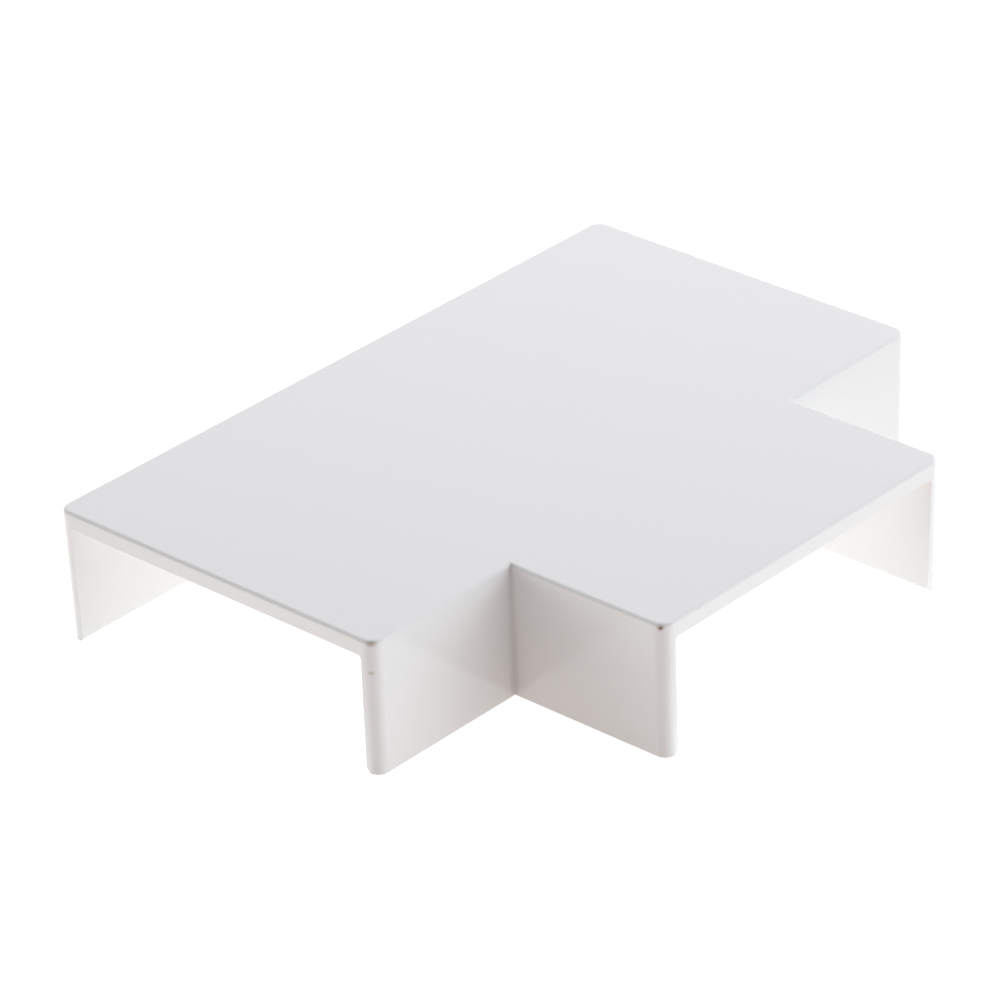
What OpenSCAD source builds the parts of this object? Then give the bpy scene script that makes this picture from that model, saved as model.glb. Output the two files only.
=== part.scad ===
/* [Trunking] */
// Outer width of the trunking that the cover fits over
trunk_w = 30; // [16:1:60]
// Outer depth of the trunking, from the wall to its lid
trunk_h = 10; // [8:0.5:25]
// Gap between the trunking and each side wall
side_gap = 0.2; // [0.1:0.05:0.6]
// Gap between the trunking lid and the top plate
top_gap = 0.1; // [0:0.05:0.6]

/* [Cover] */
// Thickness of the side walls
wall = 1.3; // [1:0.1:2.5]
// Thickness of the top plate
plate = 1.45; // [1:0.05:3]
// Reach of each run arm, from the branch's side wall to the open end
run_arm = 15; // [8:0.5:40]
// Reach of the branch arm, from the run's front wall to the open end
branch_arm = 15; // [8:0.5:40]

/* [Edges] */
// Radius of the upright corners beside the open ends
corner_r = 1.1; // [0.8:0.1:2]
// Radius along the outer edge of the top plate
edge_r = 0.3; // [0.1:0.05:0.6]
// How far the foot of each outer face stands in from its top
toe_in = 0.2; // [0.05:0.05:0.5]
// Radius inside, where a wall meets the top plate
root_r = 0.3; // [0.1:0.05:0.8]
// Lead-in along the inner foot of each wall
lead_in = 0.35; // [0.1:0.05:0.6]

/* [Hidden] */
// How far a cutting shape runs past the face it cuts
over = 1;
// Facets on a full circle
round_n = 96;
$fn = round_n;

// Clear width and depth inside the cover, at the top plate
inner_w = trunk_w + 2 * side_gap;
inner_h = trunk_h + top_gap;
// Outer width of run and branch, and height of the cover
outer_w = inner_w + 2 * wall;
outer_h = inner_h + plate;
// Length of the run, from one open end to the other
run_l = outer_w + 2 * run_arm;
// The centrelines of run and branch cross at the origin, on the wall's surface
branch_end = -outer_w / 2 - branch_arm;

// The outline keeps its full size down to where the top edge's round starts
shoulder_z = outer_h - edge_r;
// Sideways lean of an outer or inner face, for each millimetre of height
lean = toe_in / shoulder_z;

// Half of an upright section, from its middle out to a leaning outer face
module half_section(half) {
    polygon([
        [0, 0],
        [half - toe_in, 0],
        [half, shoulder_z],
        [half - edge_r, shoulder_z],
        [half - edge_r, outer_h],
        [0, outer_h]
    ]);
    translate([half - edge_r, shoulder_z])
        circle(r = edge_r);
}

// Whole upright section, with both outer faces leaning in to the foot
module outer_section(width) {
    half_section(width / 2);
    mirror([1, 0])
        half_section(width / 2);
}

// Solid block with leaning sides, upright round corners and a rounded top edge
module block(x, y) {
    rotate([90, 0, 90])
        translate([0, 0, corner_r - x / 2])
            linear_extrude(x - 2 * corner_r)
                outer_section(y);
    rotate([90, 0, 0])
        translate([0, 0, corner_r - y / 2])
            linear_extrude(y - 2 * corner_r)
                outer_section(x);
    for (sx = [-1, 1], sy = [-1, 1])
        translate([sx * (x / 2 - corner_r), sy * (y / 2 - corner_r), 0])
            rotate_extrude()
                half_section(corner_r);
}

// Run and branch as one solid outer form
module outer_form() {
    block(run_l, outer_w);
    translate([0, branch_end / 2, 0])
        block(outer_w, -branch_end);
}

// Half of the hollow's section, leaning with the wall outside it
module half_hollow() {
    half = inner_w / 2;
    foot = half - lean * inner_h;
    polygon([
        [0, -over],
        [foot + lead_in, -over],
        [foot + lead_in, 0],
        [foot + lean * lead_in, lead_in],
        [half - lean * root_r, inner_h - root_r],
        [half - root_r, inner_h - root_r],
        [half - root_r, inner_h],
        [0, inner_h]
    ]);
    translate([half - root_r - lean * root_r, inner_h - root_r])
        circle(r = root_r);
}

// Straight hollow along the x axis, from one open end to the other
module hollow(x0, x1) {
    rotate([90, 0, 90])
        translate([0, 0, x0])
            linear_extrude(x1 - x0) {
                half_hollow();
                mirror([1, 0])
                    half_hollow();
            }
}

// The tee cover: one moulding, open at three ends and underneath
module tee_cover() {
    color("white")
        difference() {
            outer_form();
            hollow(-run_l / 2 - over, run_l / 2 + over);
            rotate([0, 0, -90])
                hollow(0, -branch_end + over);
        }
}

tee_cover();
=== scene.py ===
import math

import bpy
from mathutils import Matrix, Vector


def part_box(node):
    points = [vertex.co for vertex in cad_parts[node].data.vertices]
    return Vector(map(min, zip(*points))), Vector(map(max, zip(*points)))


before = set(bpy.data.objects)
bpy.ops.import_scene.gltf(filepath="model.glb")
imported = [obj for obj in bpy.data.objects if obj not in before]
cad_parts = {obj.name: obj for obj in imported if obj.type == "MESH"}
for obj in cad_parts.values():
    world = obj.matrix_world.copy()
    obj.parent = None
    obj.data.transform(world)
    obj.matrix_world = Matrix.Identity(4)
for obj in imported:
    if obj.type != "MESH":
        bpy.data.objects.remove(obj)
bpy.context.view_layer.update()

# Millimetres and degrees, in metres and radians
MM = 0.001
DEG = math.pi / 180

# The cover's box at rest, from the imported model: the run lies along x, the branch leaves toward -y
LOW, HIGH = (Vector(corner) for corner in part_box("tee_cover"))
HEIGHT = HIGH.z
RUN_FRONT = -HIGH.y
BRANCH_SIDE = HIGH.y

# Where the photograph was taken from: direction, tilt to one side, distance and lens
VIEW_AZIMUTH = -46.994 * DEG
VIEW_ELEVATION = 29.034 * DEG
VIEW_ROLL = -2.348 * DEG
VIEW_DISTANCE = 400.57 * MM
VIEW_AIM = Vector((-2.084 * MM, -2.291 * MM, HEIGHT / 2))
LENS = 184.0
SENSOR = 36.0

# Soft light from the sky around: azimuth from +x toward +y, elevation, tightness, strength and tint
SKY_LIGHTS = [
    (115, 7, 12, 3.15, (0.94, 1.03, 1.03)),
    (135, 7, 12, 1.35, (0.94, 1.03, 1.03)),
    (290, 12, 14, 2.05, (0.91, 1.05, 1.11)),
    (320, 12, 14, 2.65, (0.91, 1.05, 1.11)),
]

# Round lamps, near enough for the nearer end of the cover to be the brighter one: azimuth, elevation, power,
# and tint
LAMPS = [
    ("right", 20, 62, 1.11, (1.01, 0.95, 0.99)),
    ("left", 150, 55, 0.07, (1.00, 1.00, 1.00)),
    ("front", 300, 38, 0.21, (1.00, 1.00, 1.04)),
]
LAMP_DISTANCE = 400 * MM
LAMP_SIZE = 290 * MM

# The cover stands on a lit white table, which glows a little more inside the open arms and in front of them
TABLE_GLOW = 0.88
RUN_GLOW = 1.30
BRANCH_GLOW = 1.38
TABLE_SEEN = 0.92
TABLE_TINT = (1.10, 0.98, 0.94)
UNDER_TINT = (0.995, 0.995, 0.98)
TABLE_ALBEDO = 0.28
TABLE_HALF = 3.0
TABLE_DROP = 0.03 * MM
UNDER_DROP = 0.02 * MM
UNDER_REACH = 10 * MM
WALL = 1.3 * MM

# White plastic, in linear light
PLASTIC_COLOUR = (0.805, 0.80, 0.795)
PLASTIC_ROUGHNESS = 0.12
PLASTIC_IOR = 1.6

# Fine grain of the moulded surface, and the faint clouds in its colour
GRAIN_CELL = 0.15 * MM
GRAIN_HEIGHT = 0.0006 * MM
CLOUD_CELL = 0.6 * MM
CLOUD_SPREAD = 0.012

# Small marks of dirt on the front corners: place, radius of the dark middle and of the fade, how many times
# wider than high, tone in linear light, and strength
RUN_CORNER = Vector((LOW.x + 0.32 * MM, RUN_FRONT + 0.32 * MM, HEIGHT))
BRANCH_CORNER = Vector((-BRANCH_SIDE + 0.32 * MM, LOW.y + 0.32 * MM, HEIGHT))
DIRT_MARKS = [
    (RUN_CORNER + Vector((-0.07, 0.07, -0.23)) * MM, 0.05 * MM, 0.65 * MM, 1.7, (0.34, 0.23, 0.14), 0.58),
    (RUN_CORNER + Vector((-0.14, 0.14, -2.72)) * MM, 0.00 * MM, 0.40 * MM, 1.6, (0.40, 0.28, 0.18), 0.50),
    (BRANCH_CORNER + Vector((-0.17, 0.17, -0.33)) * MM, 0.05 * MM, 0.45 * MM, 1.2, (0.36, 0.27, 0.18), 0.70),
    (BRANCH_CORNER + Vector((-0.17, 0.17, -0.33)) * MM, 0.06 * MM, 0.22 * MM, 1.1, (0.17, 0.05, 0.02), 1.00),
]
DIRT_CELL = 0.2 * MM
DIRT_DRIFT = 0.2 * MM

# Painted shade: a thin dark line that darkens the upright inner corner between run and branch
CORNER_SHADE_FADE = 0.55 * MM
CORNER_SHADE_TONE = (0.45, 0.40, 0.38)
CORNER_SHADE_STRENGTH = 0.22


def toward(azimuth, elevation):
    """Direction from its azimuth, measured from +x toward +y, and its elevation."""
    flat = math.cos(elevation)
    return Vector((flat * math.cos(azimuth), flat * math.sin(azimuth), math.sin(elevation)))


def arithmetic(tree, operation, *values):
    """Math node. A number goes into its socket, and an output is linked to it."""
    node = tree.nodes.new("ShaderNodeMath")
    node.operation = operation
    for socket, value in zip(node.inputs, values):
        if isinstance(value, (int, float)):
            socket.default_value = value
        else:
            tree.links.new(value, socket)
    return node.outputs[0]


def vector_math(tree, operation, *values, output="Vector"):
    """Vector math node. A tuple goes into its socket, and an output is linked to it."""
    node = tree.nodes.new("ShaderNodeVectorMath")
    node.operation = operation
    for socket, value in zip(node.inputs, values):
        if isinstance(value, bpy.types.NodeSocket):
            tree.links.new(value, socket)
        else:
            socket.default_value = value
    return node.outputs[output]


def seen_directly(tree):
    """1 for camera, glossy and transmission rays, and 0 for the light that falls on the object."""
    path = tree.nodes.new("ShaderNodeLightPath")
    camera_or_glossy = arithmetic(tree, "MAXIMUM", path.outputs["Is Camera Ray"], path.outputs["Is Glossy Ray"])
    return arithmetic(tree, "MAXIMUM", camera_or_glossy, path.outputs["Is Transmission Ray"])


def add_camera():
    """Camera at the photograph's place, turned about its own axis by the photograph's roll."""
    back = toward(VIEW_AZIMUTH - 90 * DEG, VIEW_ELEVATION)
    level_right = Vector((0, 0, 1)).cross(back).normalized()
    level_up = back.cross(level_right)
    right = level_right * math.cos(VIEW_ROLL) + level_up * math.sin(VIEW_ROLL)
    up = level_up * math.cos(VIEW_ROLL) - level_right * math.sin(VIEW_ROLL)
    data = bpy.data.cameras.new("photo_camera")
    data.lens = LENS
    data.sensor_width = SENSOR
    data.sensor_fit = "HORIZONTAL"
    data.clip_start = 0.01
    data.clip_end = 50
    camera = bpy.data.objects.new("photo_camera", data)
    turn = Matrix((right, up, back)).transposed().to_4x4()
    camera.matrix_world = Matrix.Translation(VIEW_AIM + back * VIEW_DISTANCE) @ turn
    bpy.context.scene.collection.objects.link(camera)
    bpy.context.scene.camera = camera


def sky_light(tree, direction, azimuth, elevation, tightness, strength):
    """Strength of one soft light, in the direction that a ray leaves the cover."""
    facing = vector_math(tree, "DOT_PRODUCT", direction, toward(azimuth * DEG, elevation * DEG), output="Value")
    front = arithmetic(tree, "MAXIMUM", facing, 0.0)
    return arithmetic(tree, "MULTIPLY", arithmetic(tree, "POWER", front, tightness), strength)


def add_shaders(tree, first, second):
    both = tree.nodes.new("ShaderNodeAddShader")
    tree.links.new(first.outputs[0], both.inputs[0])
    tree.links.new(second.outputs[0], both.inputs[1])
    return both


def add_world():
    """The soft lights fall on the object. Where the world itself is seen or mirrored, it is plain white."""
    world = bpy.data.worlds.new("soft_studio")
    bpy.context.scene.world = world
    world.use_nodes = True
    tree = world.node_tree
    tree.nodes.clear()
    direction = tree.nodes.new("ShaderNodeTexCoord").outputs["Generated"]
    lit = tree.nodes.new("ShaderNodeBackground")
    lit.inputs["Strength"].default_value = 0.0
    for azimuth, elevation, tightness, strength, tint in SKY_LIGHTS:
        light = tree.nodes.new("ShaderNodeBackground")
        light.inputs["Color"].default_value = (*tint, 1)
        spread = sky_light(tree, direction, azimuth, elevation, tightness, strength)
        tree.links.new(spread, light.inputs["Strength"])
        lit = add_shaders(tree, lit, light)
    white = tree.nodes.new("ShaderNodeBackground")
    white.inputs["Color"].default_value = (1, 1, 1, 1)
    choice = tree.nodes.new("ShaderNodeMixShader")
    tree.links.new(seen_directly(tree), choice.inputs[0])
    tree.links.new(lit.outputs[0], choice.inputs[1])
    tree.links.new(white.outputs[0], choice.inputs[2])
    output = tree.nodes.new("ShaderNodeOutputWorld")
    tree.links.new(choice.outputs[0], output.inputs["Surface"])


def add_lamps():
    """Round lamps that light the cover but aren't seen or mirrored."""
    for name, azimuth, elevation, power, tint in LAMPS:
        place = LAMP_DISTANCE * toward(azimuth * DEG, elevation * DEG)
        data = bpy.data.lights.new(f"lamp_{name}", "AREA")
        data.shape = "DISK"
        data.size = LAMP_SIZE
        data.energy = power
        data.color = tint
        lamp = bpy.data.objects.new(f"lamp_{name}", data)
        lamp.location = place
        lamp.rotation_euler = place.to_track_quat("Z", "Y").to_euler()
        lamp.visible_camera = False
        lamp.visible_glossy = False
        bpy.context.scene.collection.objects.link(lamp)


def table_material(name, glow, tint):
    """White surface that gives light of its own tint, is seen and mirrored as plain white, and is clear from below."""
    material = bpy.data.materials.new(name)
    material.use_nodes = True
    tree = material.node_tree
    tree.nodes.clear()
    matt = tree.nodes.new("ShaderNodeBsdfDiffuse")
    matt.inputs["Color"].default_value = (TABLE_ALBEDO, TABLE_ALBEDO, TABLE_ALBEDO, 1)
    cast = tree.nodes.new("ShaderNodeEmission")
    cast.inputs["Color"].default_value = (*tint, 1)
    cast.inputs["Strength"].default_value = glow
    seen = tree.nodes.new("ShaderNodeEmission")
    seen.inputs["Strength"].default_value = TABLE_SEEN
    light = tree.nodes.new("ShaderNodeMixShader")
    tree.links.new(seen_directly(tree), light.inputs[0])
    tree.links.new(cast.outputs[0], light.inputs[1])
    tree.links.new(seen.outputs[0], light.inputs[2])
    lit = add_shaders(tree, matt, light)
    side = tree.nodes.new("ShaderNodeMixShader")
    tree.links.new(tree.nodes.new("ShaderNodeNewGeometry").outputs["Backfacing"], side.inputs[0])
    tree.links.new(lit.outputs[0], side.inputs[1])
    tree.links.new(tree.nodes.new("ShaderNodeBsdfTransparent").outputs[0], side.inputs[2])
    output = tree.nodes.new("ShaderNodeOutputMaterial")
    tree.links.new(side.outputs[0], output.inputs["Surface"])
    return material


def add_flat(name, corners, z, glow, tint):
    """Flat glowing sheet with the given corners, part of the stage and not of the cover."""
    mesh = bpy.data.meshes.new(name)
    mesh.from_pydata([(x, y, z) for x, y in corners], [], [range(len(corners))])
    mesh.materials.append(table_material(name, glow, tint))
    sheet = bpy.data.objects.new(name, mesh)
    bpy.context.scene.collection.objects.link(sheet)


def rectangle(x0, x1, y0, y1):
    return [(x0, y0), (x1, y0), (x1, y1), (x0, y1)]


def add_table():
    """The table, and a brighter sheet on it at each of the two arms whose open end is seen."""
    far = TABLE_HALF
    side = BRANCH_SIDE - WALL
    add_flat("table", rectangle(-far, far, -far, far), -TABLE_DROP, TABLE_GLOW, TABLE_TINT)
    run_arm = rectangle(LOW.x - UNDER_REACH, -BRANCH_SIDE, -side, side)
    branch_arm = rectangle(-side, side, LOW.y - UNDER_REACH / 2, RUN_FRONT)
    add_flat("table_under_run", run_arm, -UNDER_DROP, RUN_GLOW, UNDER_TINT)
    add_flat("table_under_branch", branch_arm, -UNDER_DROP, BRANCH_GLOW, UNDER_TINT)


def noise(tree, place, cell, detail):
    """Noise with cells of a given size in metres."""
    node = tree.nodes.new("ShaderNodeTexNoise")
    node.inputs["Scale"].default_value = 1 / cell
    node.inputs["Detail"].default_value = detail
    tree.links.new(place, node.inputs["Vector"])
    return node


def drifted(tree, place, cell, drift):
    """Place pushed about by noise, so that what is measured from it gets a ragged edge."""
    colour = noise(tree, place, cell, 2.0).outputs["Color"]
    push = vector_math(tree, "MULTIPLY_ADD", colour, (drift,) * 3, (-drift / 2,) * 3)
    return vector_math(tree, "ADD", place, push)


def dirt_and_shade_mask(tree, place, centre, middle, fade, flatness, strength):
    """Full strength in the middle of a dirt mark or of the painted corner shade, falling to 0 at the edge of its fade.
    """
    offset = vector_math(tree, "SUBTRACT", place, centre)
    away = vector_math(tree, "LENGTH", vector_math(tree, "MULTIPLY", offset, (1, 1, flatness)), output="Value")
    fall = tree.nodes.new("ShaderNodeMapRange")
    fall.interpolation_type = "SMOOTHSTEP"
    fall.inputs["From Min"].default_value = middle
    fall.inputs["From Max"].default_value = fade
    fall.inputs["To Min"].default_value = strength
    fall.inputs["To Max"].default_value = 0.0
    tree.links.new(away, fall.inputs["Value"])
    return fall.outputs["Result"]


def blend(tree, mix, share, first, second):
    """Mix of two colours, each a colour or an output."""
    node = tree.nodes.new("ShaderNodeMix")
    node.data_type = "RGBA"
    node.blend_type = mix
    for socket, value in zip((node.inputs[0], node.inputs[6], node.inputs[7]), (share, first, second)):
        if isinstance(value, (int, float)):
            socket.default_value = value
        elif isinstance(value, tuple):
            socket.default_value = (*value, 1)
        else:
            tree.links.new(value, socket)
    return node.outputs[2]


def plastic_material():
    """White satin plastic with a fine moulded grain, faint clouds, a few marks of dirt and a painted shade in the
    upright inner corner.
    """
    material = bpy.data.materials.new("white_plastic")
    material.use_nodes = True
    tree = material.node_tree
    shader = tree.nodes["Principled BSDF"]
    shader.inputs["Roughness"].default_value = PLASTIC_ROUGHNESS
    shader.inputs["IOR"].default_value = PLASTIC_IOR
    place = tree.nodes.new("ShaderNodeTexCoord").outputs["Object"]

    clouds = noise(tree, place, CLOUD_CELL, 2.0)
    around_one = (1 - CLOUD_SPREAD / 2,) * 3
    cloudy = vector_math(tree, "MULTIPLY_ADD", clouds.outputs["Color"], (CLOUD_SPREAD,) * 3, around_one)
    colour = blend(tree, "MULTIPLY", 1.0, PLASTIC_COLOUR, cloudy)
    ragged = drifted(tree, place, DIRT_CELL, DIRT_DRIFT)
    for centre, middle, fade, flatness, tone, strength in DIRT_MARKS:
        mask = dirt_and_shade_mask(tree, ragged, centre, middle, fade, flatness, strength)
        colour = blend(tree, "MIX", mask, colour, tone)
    # Painted shade: darken the colour along the upright inner corner between run and branch
    corner = (-BRANCH_SIDE, RUN_FRONT, 0)
    shade = dirt_and_shade_mask(tree, place, corner, 0.0, CORNER_SHADE_FADE, 0.0, CORNER_SHADE_STRENGTH)
    colour = blend(tree, "MIX", shade, colour, CORNER_SHADE_TONE)
    tree.links.new(colour, shader.inputs["Base Color"])

    grain = noise(tree, place, GRAIN_CELL, 1.0)
    bump = tree.nodes.new("ShaderNodeBump")
    bump.inputs["Strength"].default_value = 1.0
    bump.inputs["Distance"].default_value = GRAIN_HEIGHT
    tree.links.new(grain.outputs[0], bump.inputs["Height"])
    tree.links.new(bump.outputs[0], shader.inputs["Normal"])
    return material


def dress_cover():
    material = plastic_material()
    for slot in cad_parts["tee_cover"].material_slots:
        slot.material = material


bpy.context.scene.view_settings.view_transform = "Standard"
add_camera()
add_world()
add_lamps()
add_table()
dress_cover()
